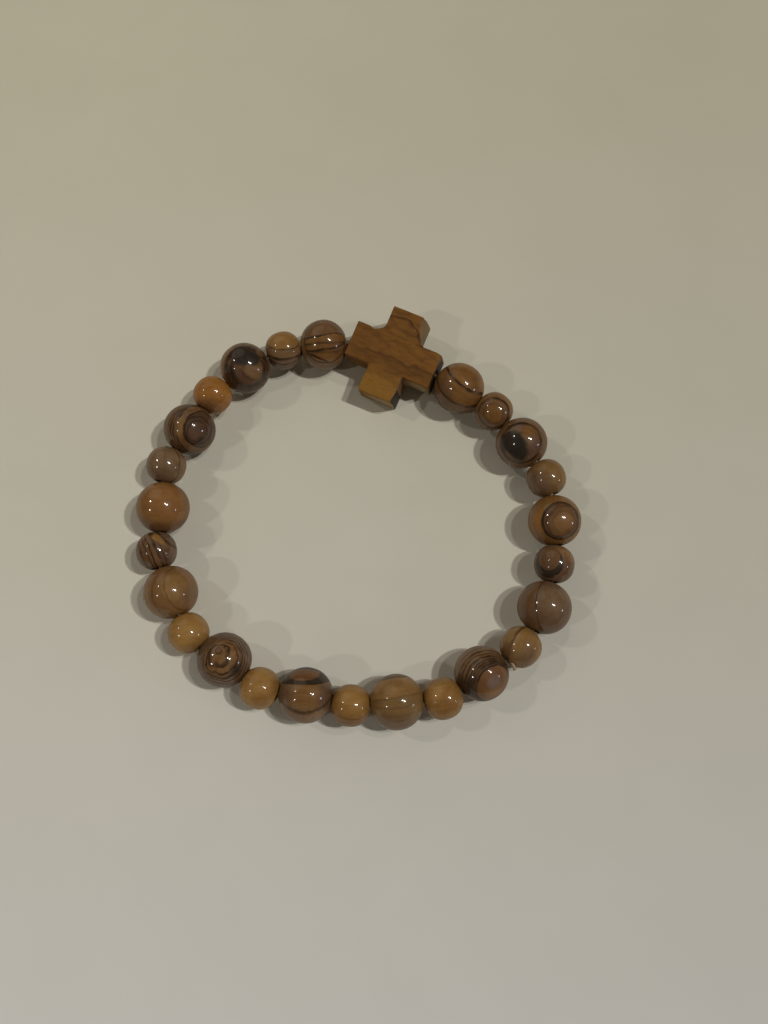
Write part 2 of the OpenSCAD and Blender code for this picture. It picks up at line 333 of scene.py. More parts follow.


# Each bead's figure, charted one by one. Places are right and up from the bead's middle, as the camera
# sees it, and they, widths and reaches are in shares of its radius. Later marks lie over earlier ones.
figures = [
    ("nut", [
        # Painted shade: the left of this bead, where the cross shades it, is painted brown.
        stain((-0.6, 0.0), 0.4, "brown", soft=0.15),
        stroke((-0.45, 0.75), (0.05, 0.17), (0.85, -0.2), 0.1, 1.0),
        stain((0.66, -0.13), 0.2, "umber", soft=0.1),
        stroke((-0.6, -0.2), (-0.1, -0.58), (0.65, -0.66), 0.1, 1.0, "brown", (0, -0.9)),
        stroke((-0.8, -0.45), (-0.4, -0.8), (0.1, -0.97), 0.06, 0.9)]),
    ("tan", [
        stroke((0.3, 0.85), (0.85, 0.3), (0.85, -0.3), 0.05, 0.4),
        stain((0.0, -0.13), 0.78, "brown", 0.8, 1.0, 0.15),
        stain((-0.02, -0.12), 0.5, "nut", 1.6, 0.35, 0.14)]),
    ("brown", [
        stain((-0.7, -0.5), 0.5, "dun", 1.5, soft=0.2),
        stain((-0.02, 0.0), 0.76, "dun", 0.7, 1.0, 0.14),
        stain((0.3, 0.42), 0.3, "nut", soft=0.08),
        stain((0.45, -0.25), 0.26, "mauve", soft=0.08),
        stain((-0.36, 0.02), 0.46, "black", 1.5, soft=0.06),
        stain((-0.12, -0.1), 0.36, "black", 1.5, soft=0.08),
        stain((-0.1, -0.36), 0.36, "black", 1.5, soft=0.08)]),
    ("olive tan", [
        stain((-0.45, -0.45), 0.7, "dun", 1.5, soft=0.25),
        stroke((-0.6, 0.3), (0.1, 0.45), (0.8, 0.2), 0.1, 0.08)]),
    ("nut", [
        stain((-0.5, 0.0), 0.4, "ginger", 1.5, soft=0.2),
        stain((0.29, 0.0), 0.7, "brown", 1.0, 1.0, 0.12),
        ring((0.31, 0.0), 0.6, 0.12, 0.6, 3.0),
        stain((0.36, -0.04), 0.42, "tan", 1.8, 0.3, 0.1, 0.08)]),
    ("dun", [
        stain((0.7, 0.6), 0.5, "tan", 1.5, soft=0.2),
        stain((0.5, -0.45), 0.5, "umber", 1.5, soft=0.2),
        stroke((0.5, 0.75), (0.62, 0.3), (0.6, -0.5), 0.1, 0.2),
        stain((-0.32, 0.08), 0.72, "black", 1.2),
        stain((-0.27, 0.32), 0.56, "brown", 1.2)]),
    ("dun", [
        stain((0.35, 0.3), 0.5, "grey tan", 1.5, soft=0.2),
        stroke((-0.12, 0.75), (-0.3, 0.0), (-0.12, -0.78), 0.05, 0.9, "brown", (-0.8, 0.0)),
        stain((-0.5, -0.4), 0.35, "umber", 1.5, soft=0.2),
        stroke((0.75, 0.4), (0.85, 0.0), (0.7, -0.5), 0.1, 0.15)]),
    ("gold tan", [
        stain((0.3, -0.55), 0.5, "grey tan", 1.5, soft=0.25),
        stroke((0.12, 0.88), (-0.25, 0.47), (-0.52, -0.1), 0.14, 0.8),
        # Painted shade: the lower left of this bead, where shadow falls, is painted brown.
        stain((-0.65, -0.15), 0.3, "brown", 1.0, soft=0.15),
        stroke((0.33, 0.0), (0.2, -0.4), (0.1, -0.8), 0.06, 0.15)]),
    ("pink tan", [
        *between(((-0.22, -0.6), (0.1, 0.1), (0.75, 0.25)), ((-0.85, 0.1), (-0.2, 0.78), (0.5, 0.82)),
                 ((0.14, 0.09, 0.95), (0.28, 0.08, 0.95), (0.42, 0.08, 0.95), (0.58, 0.09, 0.9),
                  (0.74, 0.06, 0.7), (0.9, 0.08, 0.85), (1.05, 0.05, 0.7), (1.2, 0.05, 0.7))),
        stain((-0.6, -0.5), 0.46, "line", 1.5, soft=0.15),
        stroke((-0.22, -0.6), (0.1, 0.1), (0.75, 0.25), 0.06, 1.0, "rust", (0.4, -0.4)),
        stain((0.42, -0.68), 0.3, "tan", 1.0, soft=0.1),
        stain((0.43, -0.32), 0.28, "scuffed", 2.0, soft=0.08)]),
    ("amber", [
        stain((-0.3, 0.3), 0.4, "gold", 1.5, soft=0.2),
        stroke((-0.8, -0.3), (0.0, -0.2), (0.7, 0.3), 0.12, 0.12),
        stroke((-0.6, -0.6), (0.1, -0.55), (0.8, -0.3), 0.08, 0.16)]),
    ("olive tan", [
        stroke((-0.95, 0.02), (0.0, 0.13), (0.9, 0.3), 0.08, 0.35, "gold tan", (0, 0.5), soft=0.06),
        stroke((-0.7, 0.68), (0.0, 0.85), (0.5, 0.87), 0.08, 0.6, "dun", (0, 0.97)),
        stroke((-0.9, -0.4), (0.0, -0.45), (0.9, -0.3), 0.1, 0.08, "grey tan", (0, -0.9), soft=0.15),
        stroke((-0.7, -0.18), (0.0, -0.17), (0.7, -0.05), 0.09, 0.2)]),
    ("amber", [
        stain((0.0, 0.5), 0.6, "gold", 1.0, soft=0.3),
        stroke((-0.6, -0.45), (0.1, -0.63), (0.6, -0.5), 0.07, 0.45, "tan", (0, -0.9)),
        stroke((-0.55, -0.7), (0.0, -0.8), (0.5, -0.72), 0.06, 0.5),
        stroke((-0.4, -0.9), (0.0, -0.97), (0.4, -0.9), 0.05, 0.5)]),
    ("grey tan", [
        stain((0.0, 0.0), 0.5, "nut", 1.5, soft=0.25),
        stain((0.85, -0.05), 0.45, "mauve", 1.5, soft=0.2),
        stain((-0.85, 0.0), 0.4, "umber", 1.5, soft=0.2),
        stroke((-0.75, -0.35), (0.0, -0.58), (0.75, -0.3), 0.13, 0.65, "pink tan", (0, -0.9)),
        stroke((-0.9, 0.45), (0.0, 0.37), (0.8, 0.45), 0.05, 0.9, "black", (0, 0.8)),
        stroke((-0.62, 0.7), (-0.05, 0.49), (0.48, 0.7), 0.03, 0.5, "rust", (0, 0.8), 0.8),
        stroke((-0.5, 0.84), (-0.05, 0.92), (0.42, 0.84), 0.03, 0.5, "black", (0, 0.98), 0.8)]),
    ("gold", [
        stain((0.05, -0.6), 0.4, "amber", 2.0, soft=0.15),
        stain((0.85, 0.1), 0.4, "amber", 1.0, soft=0.2),
        stroke((-0.6, 0.1), (0.1, 0.0), (0.8, 0.2), 0.12, 0.06)]),
    ("dun", [
        stain((-0.15, 0.1), 0.62, "tan", 2.0, soft=0.15),
        *[ring((0.25 * reach - 0.25, 0.12 - 0.12 * reach), reach, 0.05, 0.9, 2.6)
          for reach in (0.98, 0.93, 0.86, 0.77, 0.68, 0.57)],
        ring((-0.22, 0.12), 0.4, 0.1, 0.9, 3.0),
        stain((-0.22, 0.3), 0.12, "umber", 2.0, 0.6, 0.06, 0.08),
        stain((0.42, -0.36), 0.24, "black", 1.5, soft=0.1)]),
    ("gold", [
        stain((0.3, -0.75), 0.5, "amber", 1.0, soft=0.25),
        stroke((-0.7, 0.2), (0.0, 0.35), (0.8, 0.2), 0.15, 0.05)]),
    ("tan", [
        stroke((-0.5, 0.6), (-0.64, -0.1), (-0.4, -0.65), 0.1, 0.3),
        stain((0.12, 0.2), 0.48, "gold tan", 0.8, soft=0.06),
        stain((0.75, -0.1), 0.4, "pink tan", 1.0, soft=0.2),
        stroke((-0.2, 0.6), (-0.24, 0.1), (0.05, -0.45), 0.07, 0.4)]),
    ("brown", [
        stroke((-0.85, 0.3), (-0.72, -0.15), (-0.45, -0.75), 0.16, 1.0, "dun", (-0.95, 0.0)),
        stroke((-0.7, 0.5), (-0.5, 0.0), (-0.2, -0.65), 0.06, 0.95),
        stroke((-0.5, 0.5), (-0.3, 0.0), (-0.05, -0.6), 0.08, 0.95),
        stroke((-0.3, 0.75), (0.0, 0.05), (0.25, -0.5), 0.12, 1.0, "dun", (0.7, -0.3)),
        stain((0.5, -0.25), 0.34, "mauve", 1.5, soft=0.12),
        stroke((0.3, -0.05), (0.42, -0.35), (0.5, -0.6), 0.06, 0.8),
        stroke((0.1, 0.8), (0.45, 0.45), (0.85, 0.15), 0.13, 1.0, "dun", (0.7, 0.6)),
        *[stain((0.54 * share - 0.1, 0.72 - 0.5 * share), 0.1 + 0.03 * sin(pi * share), "amber", 0.4,
                soft=0.05)
          for share in (0.0, 0.2, 0.4, 0.6, 0.8, 1.0)]]),
    ("nut", [
        stain((0.0, 0.3), 0.75, "honey", 1.0, soft=0.35),
        stroke((-0.8, -0.5), (0.0, -0.62), (0.8, -0.5), 0.15, 0.2, "rust", (0, -0.9), soft=0.1)]),
    ("grey tan", [
        stroke((0.5, 0.7), (0.65, 0.2), (0.38, -0.7), 0.07, 0.75, "pink tan", (0.9, 0.0)),
        stroke((-0.1, 0.8), (-0.05, 0.0), (-0.2, -0.8), 0.12, 0.15),
        stain((-0.3, -0.6), 0.4, "dun", 1.5, soft=0.2)]),
    ("brown", [
        *between(((-0.1, 0.8), (-0.5, 0.0), (-0.3, -0.65)), ((-0.55, 0.78), (-0.93, 0.0), (-0.8, -0.55)),
                 ((0.0, 0.1, 1.0), (0.25, 0.06, 1.0), (0.48, 0.06, 1.0), (0.72, 0.05, 1.0),
                  (1.0, 0.04, 0.8))),
        stain((-0.3, 0.25), 0.22, "tan", 1.0, soft=0.1),
        stain((-0.38, -0.1), 0.2, "tan", 1.0, soft=0.1),
        stroke((0.1, 0.62), (-0.2, 0.0), (0.1, -0.6), 0.06, 1.0, "dusk", (0.3, 0.0)),
        ring((0.34, -0.03), 0.56, 0.07, 1.0, 1.8),
        ring((0.33, -0.08), 0.42, 0.07, 0.8, 2.4),
        stain((0.22, -0.2), 0.24, "mauve", 2.0, soft=0.12),
        stroke((0.6, 0.7), (0.84, 0.0), (0.6, -0.65), 0.06, 0.9),
        stain((0.4, -0.38), 0.16, "black", 1.0, soft=0.08)]),
    ("ginger", [
        stain((-0.2, -0.6), 0.5, "rust", 1.5, soft=0.25),
        stroke((-0.7, 0.3), (0.1, 0.4), (0.8, 0.2), 0.12, 0.08)]),
    ("umber", [
        stroke((-0.45, 0.75), (-0.52, 0.3), (-0.7, -0.2), 0.04, 0.4, "tan", (-0.85, 0.3), 1.5, 0.08),
        stain((-0.4, -0.45), 0.36, "dusk", 1.5, soft=0.15),
        ring((0.1, -0.05), 0.84, 0.3, 1.0, 1.5),
        ring((0.14, -0.1), 0.66, 0.2, 1.0, 1.6),
        stain((0.31, -0.06), 0.42, "pink tan", 1.5, 0.5, 0.1, 0.06),
        stain((-0.08, 0.48), 0.4, "black", 1.5, soft=0.06),
        stain((0.25, 0.4), 0.32, "black", 1.5, soft=0.06),
        stain((0.62, 0.6), 0.2, "tan", 1.0, soft=0.1)]),
    ("amber", [
        stroke((-0.75, 0.25), (0.0, 0.05), (0.8, 0.3), 0.07, 0.75, "pink tan", (0, -0.5)),
        stroke((-0.75, -0.28), (0.0, -0.45), (0.75, -0.25), 0.14, 1.0, "dun", (0, -0.9)),
        stroke((-0.6, -0.55), (0.0, -0.72), (0.5, -0.6), 0.09, 1.0),
        stroke((-0.4, -0.8), (0.0, -0.88), (0.4, -0.8), 0.05, 0.6)]),
    ("nut", [
        stain((0.75, -0.1), 0.4, "brown", 1.0, soft=0.2),
        stroke((-0.85, 0.2), (0.0, 0.4), (0.85, 0.4), 0.06, 1.0, "brown", (0, 0.9)),
        stroke((-0.8, 0.0), (0.2, 0.08), (0.88, 0.12), 0.08, 0.7),
        stroke((-0.88, -0.2), (-0.1, -0.2), (0.7, 0.0), 0.08, 1.0),
        stroke((-0.5, -0.25), (0.2, -0.27), (0.7, -0.2), 0.1, 0.5),
        stroke((-0.85, -0.3), (-0.5, -0.38), (-0.1, -0.55), 0.09, 1.0),
        stroke((-0.6, -0.4), (0.0, -0.7), (0.6, -0.5), 0.07, 1.0, "pink tan", (0, -0.9))]),
]

# One growth line as nodes: how deep a place lies under the line's plane gives the wood on its far
# side, and a stroke that is sharp on the near side and fades on the far one.
growth_line = bpy.data.node_groups.new("growth_line", "ShaderNodeTree")
for socket, kind in (("Point", "Vector"), ("Waver", "Float"), ("Sway", "Float"), ("Pole", "Vector"),
                     ("Depth", "Float"), ("Width", "Float"), ("Strength", "Float"), ("Under", "Color"),
                     ("Line", "Color"), ("Far", "Color"), ("Far share", "Float"), ("Soft", "Float")):
    growth_line.interface.new_socket(socket, in_out="INPUT", socket_type="NodeSocket" + kind)
growth_line.interface.new_socket("Colour", in_out="OUTPUT", socket_type="NodeSocketColor")
given = growth_line.nodes.new("NodeGroupInput").outputs
facing = add(growth_line, "ShaderNodeVectorMath", {0: given["Point"], 1: given["Pole"]},
             operation="DOT_PRODUCT")
swayed = add(growth_line, "ShaderNodeMath", {0: given["Waver"], 1: given["Sway"], 2: facing.outputs["Value"]},
             operation="MULTIPLY_ADD")
above = add(growth_line, "ShaderNodeMath", {0: swayed.outputs[0], 1: given["Depth"]}, operation="SUBTRACT")
firm = add(growth_line, "ShaderNodeMath", {0: given["Soft"], 1: -1.0}, operation="MULTIPLY")
beyond = add(growth_line, "ShaderNodeMapRange",
             {0: above.outputs[0], 1: given["Soft"], 2: firm.outputs[0], 4: given["Far share"]})
zoned = add(growth_line, "ShaderNodeMix", {0: beyond.outputs[0], 6: given["Under"], 7: given["Far"]},
            data_type="RGBA")
in_widths = add(growth_line, "ShaderNodeMath", {0: above.outputs[0], 1: given["Width"]}, operation="DIVIDE")
across = add(growth_line, "ShaderNodeMapRange", {0: in_widths.outputs[0], 1: -1.1, 2: 0.7})
profile = add(growth_line, "ShaderNodeValToRGB", {0: across.outputs[0]})
none, full = (0, 0, 0, 1), (1, 1, 1, 1)
fill_ramp(profile, [(0.0, none), (0.52, full), (0.72, full), (1.0, none)], "EASE")
shown = add(growth_line, "ShaderNodeMath", {0: profile.outputs[0], 1: given["Strength"]},
            operation="MULTIPLY")
struck = add(growth_line, "ShaderNodeMix", {0: shown.outputs[0], 6: zoned.outputs[2], 7: given["Line"]},
             data_type="RGBA")
add(growth_line, "NodeGroupOutput", {0: struck.outputs[2]})


def seen(centre, right, up):
    """A place on a bead as it is seen, right and up from its middle, as a direction from there."""
    eye = (camera_at - centre).normalized()
    across = camera_turn @ Vector((1, 0, 0))
    across = (across - eye * across.dot(eye)).normalized()
    reach = hypot(right, up)
    if reach > 0.99:
        right, up = right * 0.99 / reach, up * 0.99 / reach
    return across * right + eye.cross(across) * up + eye * sqrt(1 - right * right - up * up)


def plane_of(mark, centre):
    """The pole of a mark's plane and how deep the plane lies along it, both divided by the reach of the
    circle that the plane cuts, so that widths and sways measure along the bead's skin."""
    if "at" in mark:
        reach = mark["reach"]
        pole = seen(centre, *mark["at"])
        return -pole / reach, -sqrt(1 - reach ** 2) / reach
    a, b, c = (seen(centre, *place) for place in mark["points"])
    pole = (b - a).cross(c - a).normalized()
    depth = pole.dot(a)
    if mark["side"] and pole.dot(seen(centre, *mark["side"])) > depth:
        pole, depth = -pole, -depth
    reach = sqrt(1 - depth ** 2)
    return pole / reach, depth / reach


# Lacquered olive wood gives the eye warm tan to umber ground, near black growth lines that waver,
# fine streaks and pores along the grain, and small sharp highlights in the clear coat over it.
def lacquered_olive_wood(number, centre, radius, ground, marks):
    material, tree, shader = blank_material(f"lacquered_olive_wood_{number:02d}")
    layers_face = plane_of(marks[-1], centre)[0]
    turn = layers_face.to_track_quat("Z", "Y").to_euler()
    spot = add(tree, "ShaderNodeTexCoord")
    point = add(tree, "ShaderNodeMapping",
                {"Vector": spot.outputs["Object"], "Location": centre, "Scale": (radius, radius, radius)},
                vector_type="TEXTURE")
    sway = add(tree, "ShaderNodeTexNoise",
               {"Vector": point.outputs[0], "W": number * 3.1, "Scale": 1.5, "Detail": 3.0, "Roughness": 0.6},
               noise_dimensions="4D")
    waver = add(tree, "ShaderNodeMapRange", {0: sway.outputs[0], 1: 0.25, 2: 0.75, 3: -0.05, 4: 0.05})
    patchy = add(tree, "ShaderNodeTexNoise",
                 {"Vector": point.outputs[0], "W": number * 1.7, "Scale": 2.8, "Detail": 1.0},
                 noise_dimensions="4D")
    drawn = add(tree, "ShaderNodeMapRange", {0: patchy.outputs[0], 1: 0.35, 2: 0.6, 3: 0.6, 4: 1.0})
    wood = colour(olive_woods[ground])
    for mark in marks:
        pole, depth = plane_of(mark, centre)
        strength = add(tree, "ShaderNodeMath", {0: drawn.outputs[0], 1: mark["strength"]},
                       operation="MULTIPLY")
        line = add(tree, "ShaderNodeGroup", node_tree=growth_line, wires={
            "Point": point.outputs[0], "Waver": waver.outputs[0], "Sway": mark["sway"], "Pole": pole,
            "Depth": depth, "Width": mark["width"], "Strength": strength.outputs[0], "Under": wood,
            "Line": colour(olive_woods["line"]), "Far": colour(olive_woods[mark["far"] or ground]),
            "Far share": 0.92 if mark["far"] else 0.0, "Soft": mark["soft"]})
        wood = line.outputs[0]

    # A bead with little figure is of even wood, in which the layers and streaks are fainter too.
    grain_depth = 0.55 if len(marks) <= 4 else 1.0
    # Clouds of 2 mm deepen and redden the wood, layers 0.4 mm apart and streaks of 1.4 by 0.13 mm along
    # the grain vary it, and pores of 0.08 mm speckle it.
    clouds = add(tree, "ShaderNodeTexNoise",
                 {"Vector": spot.outputs["Object"], "W": number * 2.3, "Scale": 1 / (2 * MM), "Detail": 3.0},
                 noise_dimensions="4D")
    cloud_share = add(tree, "ShaderNodeMapRange", {0: clouds.outputs[0], 1: 0.38, 2: 0.68, 3: 0.0, 4: 0.8})
    cloud_tint = add(tree, "ShaderNodeMix", {0: cloud_share.outputs[0], 6: (1.04, 1.04, 1.04, 1),
                                             7: (0.78, 0.71, 0.62, 1)}, data_type="RGBA")
    grain = add(tree, "ShaderNodeMapping",
                {"Vector": spot.outputs["Object"], "Location": centre, "Rotation": turn,
                 "Scale": (MM, MM, MM)}, vector_type="TEXTURE")
    layer_size = add(tree, "ShaderNodeMapping", {"Vector": grain.outputs[0], "Scale": (5, 5, 0.4)},
                     vector_type="TEXTURE")
    layers = add(tree, "ShaderNodeTexNoise", {"Vector": layer_size.outputs[0], "Scale": 1.0, "Detail": 2.0})
    layer_shade = add(tree, "ShaderNodeMapRange",
                      {0: layers.outputs[0], 1: 0.3, 2: 0.7, 3: 1 - 0.15 * grain_depth,
                       4: 1 + 0.15 * grain_depth})
    streak_size = add(tree, "ShaderNodeMapping",
                      {"Vector": grain.outputs[0], "Rotation": (0, 0, number * 1.3),
                       "Scale": (1.4, 0.13, 0.13)}, vector_type="TEXTURE")
    streaks = add(tree, "ShaderNodeTexNoise", {"Vector": streak_size.outputs[0], "Scale": 1.0, "Detail": 3.0})
    streak_shade = add(tree, "ShaderNodeMapRange",
                       {0: streaks.outputs[0], 1: 0.25, 2: 0.75, 3: 1 - 0.18 * grain_depth,
                        4: 1 + 0.18 * grain_depth})
    pores = add(tree, "ShaderNodeTexVoronoi", {"Vector": spot.outputs["Object"], "Scale": 1 / (0.5 * MM)})
    pore_shade = add(tree, "ShaderNodeMapRange",
                     {0: pores.outputs["Distance"], 1: 0.1, 2: 0.2, 3: 0.72, 4: 1.0})
    shade = add(tree, "ShaderNodeMath", {0: layer_shade.outputs[0], 1: streak_shade.outputs[0]},
                operation="MULTIPLY")
    shade = add(tree, "ShaderNodeMath", {0: shade.outputs[0], 1: pore_shade.outputs[0]}, operation="MULTIPLY")
    tinted = add(tree, "ShaderNodeVectorMath", {0: wood, 1: cloud_tint.outputs[2]}, operation="MULTIPLY")
    shaded = add(tree, "ShaderNodeVectorMath", {0: tinted.outputs[0], "Scale": shade.outputs[0]},
                 operation="SCALE")
    tree.links.new(shaded.outputs[0], shader.inputs["Base Color"])

    # Lacquer fills the grain, so the relief is slight, and it sags in waves 0.9 mm long.
    relief = add(tree, "ShaderNodeBump",
                 {"Height": streaks.outputs[0], "Strength": 0.3, "Distance": 0.01 * MM})
    flow = add(tree, "ShaderNodeTexNoise", {"Vector": grain.outputs[0], "Scale": 1 / 0.9, "Detail": 1.0})
    lacquer_waves = add(tree, "ShaderNodeBump",
                        {"Height": flow.outputs[0], "Strength": 0.5, "Distance": 0.018 * MM})
    tree.links.new(relief.outputs[0], shader.inputs["Normal"])
    tree.links.new(lacquer_waves.outputs[0], shader.inputs["Coat Normal"])
    shader.inputs["Roughness"].default_value = 0.5
    shader.inputs["Specular IOR Level"].default_value = 0.15
    shader.inputs["Coat Weight"].default_value = 0.3
    shader.inputs["Coat Roughness"].default_value = 0.09
    shader.inputs["Coat IOR"].default_value = 2.0
    return material


for i, name in enumerate(bead_names):
    small = i % 2 == 1
    radius, half, fullness = ((small_radius, small_half, small_fullness) if small
                              else (large_radius, large_half, large_fullness))
    centre = bead_middles[i]
    bead = turn_bead(f"turned_{name}", centre, bead_heading(i), radius, half, fullness,
                     uneven_ends.get(i, (1.0, 1.0)), i + 1)
    bead.data.materials.append(lacquered_olive_wood(i + 1, centre, radius, *figures[i]))
    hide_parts(name)
    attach(bead, "root")

# THE CROSS
# A small cross of one olive wood board with equal arms, sawn out, drilled along its bar for the
# elastic and rubbed to a satin finish. It leans back on the foot of its upright.
bar_reach = 7.2 * MM
bar_height = 5.7 * MM
upright_length = 14.5 * MM
upright_width = 5.8 * MM
board = 4.8 * MM
back_spread = 0.4 * MM
edge_rubbing = 0.13 * MM
bore_easing = 0.12 * MM
cross_shift = 0.12 * MM
cross_at = cross_middle - bar_heading * cross_shift
cross_lean = asin(cross_at.z / (hypot(upright_length, board) / 2)) - atan(board / upright_length)
cross_place = (Matrix.Translation(cross_at) @ Matrix.Rotation(atan2(bar_heading.y, bar_heading.x), 4, "Z")
               @ Matrix.Rotation(cross_lean, 4, "X"))

shape = bmesh.new()
bmesh.ops.create_grid(shape, x_segments=3, y_segments=3, size=1.5)
columns = (-bar_reach, -upright_width / 2, upright_width / 2, bar_reach)
rows = (-upright_length / 2, -bar_height / 2, bar_height / 2, upright_length / 2)
for v in shape.verts:
    v.co = (columns[round(v.co.x + 1.5)], rows[round(v.co.y + 1.5)], -board / 2)
corners = []
for face in shape.faces:
    at = face.calc_center_median()
    if abs(at.x) > upright_width / 2 and abs(at.y) > bar_height / 2:
        corners.append(face)
bmesh.ops.delete(shape, geom=corners, context="FACES")
raised = bmesh.ops.extrude_face_region(shape, geom=shape.faces[:])
raised_verts = [v for v in raised["geom"] if isinstance(v, bmesh.types.BMVert)]
bmesh.ops.translate(shape, vec=(0, 0, board), verts=raised_verts)
bmesh.ops.recalc_face_normals(shape, faces=shape.faces)
bmesh.ops.dissolve_limit(shape, angle_limit=0.01, verts=shape.verts, edges=shape.edges)


def inner_corner(edge):
    """Where an edge stands in a corner between two arms: its sides of the middle, or nothing."""
    ends = [v.co for v in edge.verts]
    if abs(ends[0].z - ends[1].z) < board / 2:
        return None
    if any(abs(abs(c.x) - upright_width / 2) > 1e-6 or abs(abs(c.y) - bar_height / 2) > 1e-6 for c in ends):
        return None
    return ends[0].x > 0, ends[0].y > 0


# The saw swung wide round the upper left corner, less so round the upper right one, and turned sharply
# in the other two.
for corner, saw_swing in (((False, True), 1.3 * MM), ((True, True), 0.8 * MM),
                          ((False, False), 0.35 * MM), ((True, False), 0.35 * MM)):
    turned = [e for e in shape.edges if inner_corner(e) == corner]
    bmesh.ops.bevel(shape, geom=turned, offset=saw_swing, offset_type="OFFSET", segments=5, profile=0.5,
                    affect="EDGES", material=-1)
for v in shape.verts:
    # The sides on the right lean, so that the board is a little wider at its back. Beside the upper arm
    # the cut is skewed as well: on the face it is further in at the arm's end and further out at its root.
    if v.co.x > 0:
        lean = back_spread * (0.4 - v.co.z / board)
        if v.co.y > bar_height / 2 - 1e-6 and v.co.x < bar_reach / 2:
            up_arm = (v.co.y - bar_height / 2) / (upright_length / 2 - bar_height / 2)
            lean += (0.5 + v.co.z / board) * (0.6 - up_arm) * MM
        v.co.x += lean
sharp = [e for e in shape.edges if e.calc_face_angle(0) > radians(40)]
bmesh.ops.bevel(shape, geom=sharp, offset=edge_rubbing, offset_type="OFFSET", segments=3, profile=0.5,
                affect="EDGES", material=-1)

# The bore: a round rim is drawn in each end of the bar, and the drilled wall joins the two rims.
rims = []
shape.normal_update()
for side in (-1, 1):
    end = max((f for f in shape.faces if f.normal.x * side > 0.98), key=lambda f: f.calc_area())
    way_out, end_at = end.normal.copy(), end.calc_center_median()
    bmesh.ops.inset_region(shape, faces=[end], thickness=0.6 * MM, use_even_offset=True)
    bmesh.ops.subdivide_edges(shape, edges=end.edges[:], cuts=7)
    bmesh.ops.inset_region(shape, faces=[end], thickness=0.2 * MM, use_even_offset=True)
    for v in end.verts:
        drawn_in = bore_radius / hypot(v.co.y, v.co.z)
        v.co.y *= drawn_in
        v.co.z *= drawn_in
        v.co.x -= (v.co - end_at).dot(way_out) / way_out.x
    rims.append(end.edges[:])
    bmesh.ops.delete(shape, geom=[end], context="FACES_ONLY")
# They are joined a thousand times as large, since Blender takes loops of a few mm2 for points.
bmesh.ops.scale(shape, vec=(1 / MM, 1 / MM, 1 / MM), verts=shape.verts)
bmesh.ops.bridge_loops(shape, edges=rims[0] + rims[1])
bmesh.ops.scale(shape, vec=(MM, MM, MM), verts=shape.verts)
bmesh.ops.recalc_face_normals(shape, faces=shape.faces)
shape.normal_update()
bmesh.ops.bevel(shape, geom=rims[0] + rims[1], offset=bore_easing, offset_type="OFFSET", segments=2,
                profile=0.5, affect="EDGES", material=-1)

# Cuts across the board every 0.4 mm give it enough points to be uneven, as sanded wood is.
cut_gap = 0.4 * MM
for axis, reach in ((0, bar_reach), (1, upright_length / 2), (2, board / 2)):
    count = int(2 * reach / cut_gap)
    normal = Vector((0, 0, 0))
    normal[axis] = 1
    for k in range(1, count):
        at = normal * (-reach + k * 2 * reach / count)
        bmesh.ops.bisect_plane(shape, geom=shape.verts[:] + shape.edges[:] + shape.faces[:],
                               dist=0.0001 * MM, plane_co=at, plane_no=normal)

# Where wood is missing: its place on the cross, its reach and its depth, in mm, and its way in.
chips = (
    (Vector((-4.5, 2.9, 2.2)), 0.7, 0.22, Vector((0.2, -1, -0.2))),
    (Vector((3.0, 5.7, 2.5)), 2.3, 0.55, Vector((-1, 0.1, -0.1))),
    (Vector((2.9, 7.1, 2.0)), 1.1, 0.2, Vector((-1, -0.8, -0.2))),
    (Vector((3.1, 2.9, 2.2)), 0.9, 0.3, Vector((-0.4, -0.6, -1))),
    (Vector((3.0, -2.9, 2.2)), 0.8, 0.2, Vector((-0.4, 0.6, -1))),
    (Vector((2.9, -7.0, 2.2)), 1.4, 0.2, Vector((-1, 0.3, -0.1))),
    (Vector((7.1, 2.8, 2.3)), 0.8, 0.15, Vector((-1, -1, -0.5))),
)
# The board's sides wander a little and its skin is rubbed uneven, in the same way in each run.
noise.seed_set(5)
for v in shape.verts:
    if hypot(v.co.y, v.co.z) < bore_radius * 1.4:
        continue
    wander = noise.noise_vector(v.co / (3.5 * MM)) * 0.06 * MM
    rub = noise.noise_vector(v.co / (0.8 * MM)) * 0.015 * MM
    for at, reach, chip_depth, way in chips:
        near = max(0.0, 1 - (v.co / MM - at).length / reach)
        rub += way.normalized() * chip_depth * MM * near * near * (3 - 2 * near)
    v.co += wander + rub
bmesh.ops.transform(shape, matrix=cross_place, verts=shape.verts)
for face in shape.faces:
    face.smooth = True

# Satin olive wood gives the eye amber brown with cloudy figure along the bar, a darker wavering band
# below the middle, fine pores, and only a soft sheen, because the oil leaves no film over it.
satin, tree, shader = blank_material("satin_olive_wood")
amber, amber_deep, amber_gold = colour("#825721"), colour("#6b451c"), colour("#946a2a")
band_colour, grain_in_painted_shade = colour("#3f2612"), colour("#7d6044")
# The near black is the black heart by the foot, and painted shade at the bar's right end.
end_grain, pale_grain, black_heart_and_painted_shade = colour("#826a46"), colour("#b29a78"), colour("#37302c")
spot = add(tree, "ShaderNodeTexCoord")
grain = add(tree, "ShaderNodeMapping",
            {"Vector": spot.outputs["Object"], "Location": cross_at, "Rotation": cross_place.to_euler(),
             "Scale": (MM, MM, MM)}, vector_type="TEXTURE")
cloud_size_map = add(tree, "ShaderNodeMapping", {"Vector": grain.outputs[0], "Scale": (2.6, 0.9, 1.2)},
                     vector_type="TEXTURE")
clouds = add(tree, "ShaderNodeTexNoise", {"Vector": cloud_size_map.outputs[0], "Scale": 1.0, "Detail": 3.0})
cloud_share = add(tree, "ShaderNodeMapRange", {0: clouds.outputs[0], 1: 0.42, 2: 0.7, 3: 0.0, 4: 0.8})
cloudy = add(tree, "ShaderNodeMix", {0: cloud_share.outputs[0], 6: amber, 7: amber_deep}, data_type="RGBA")
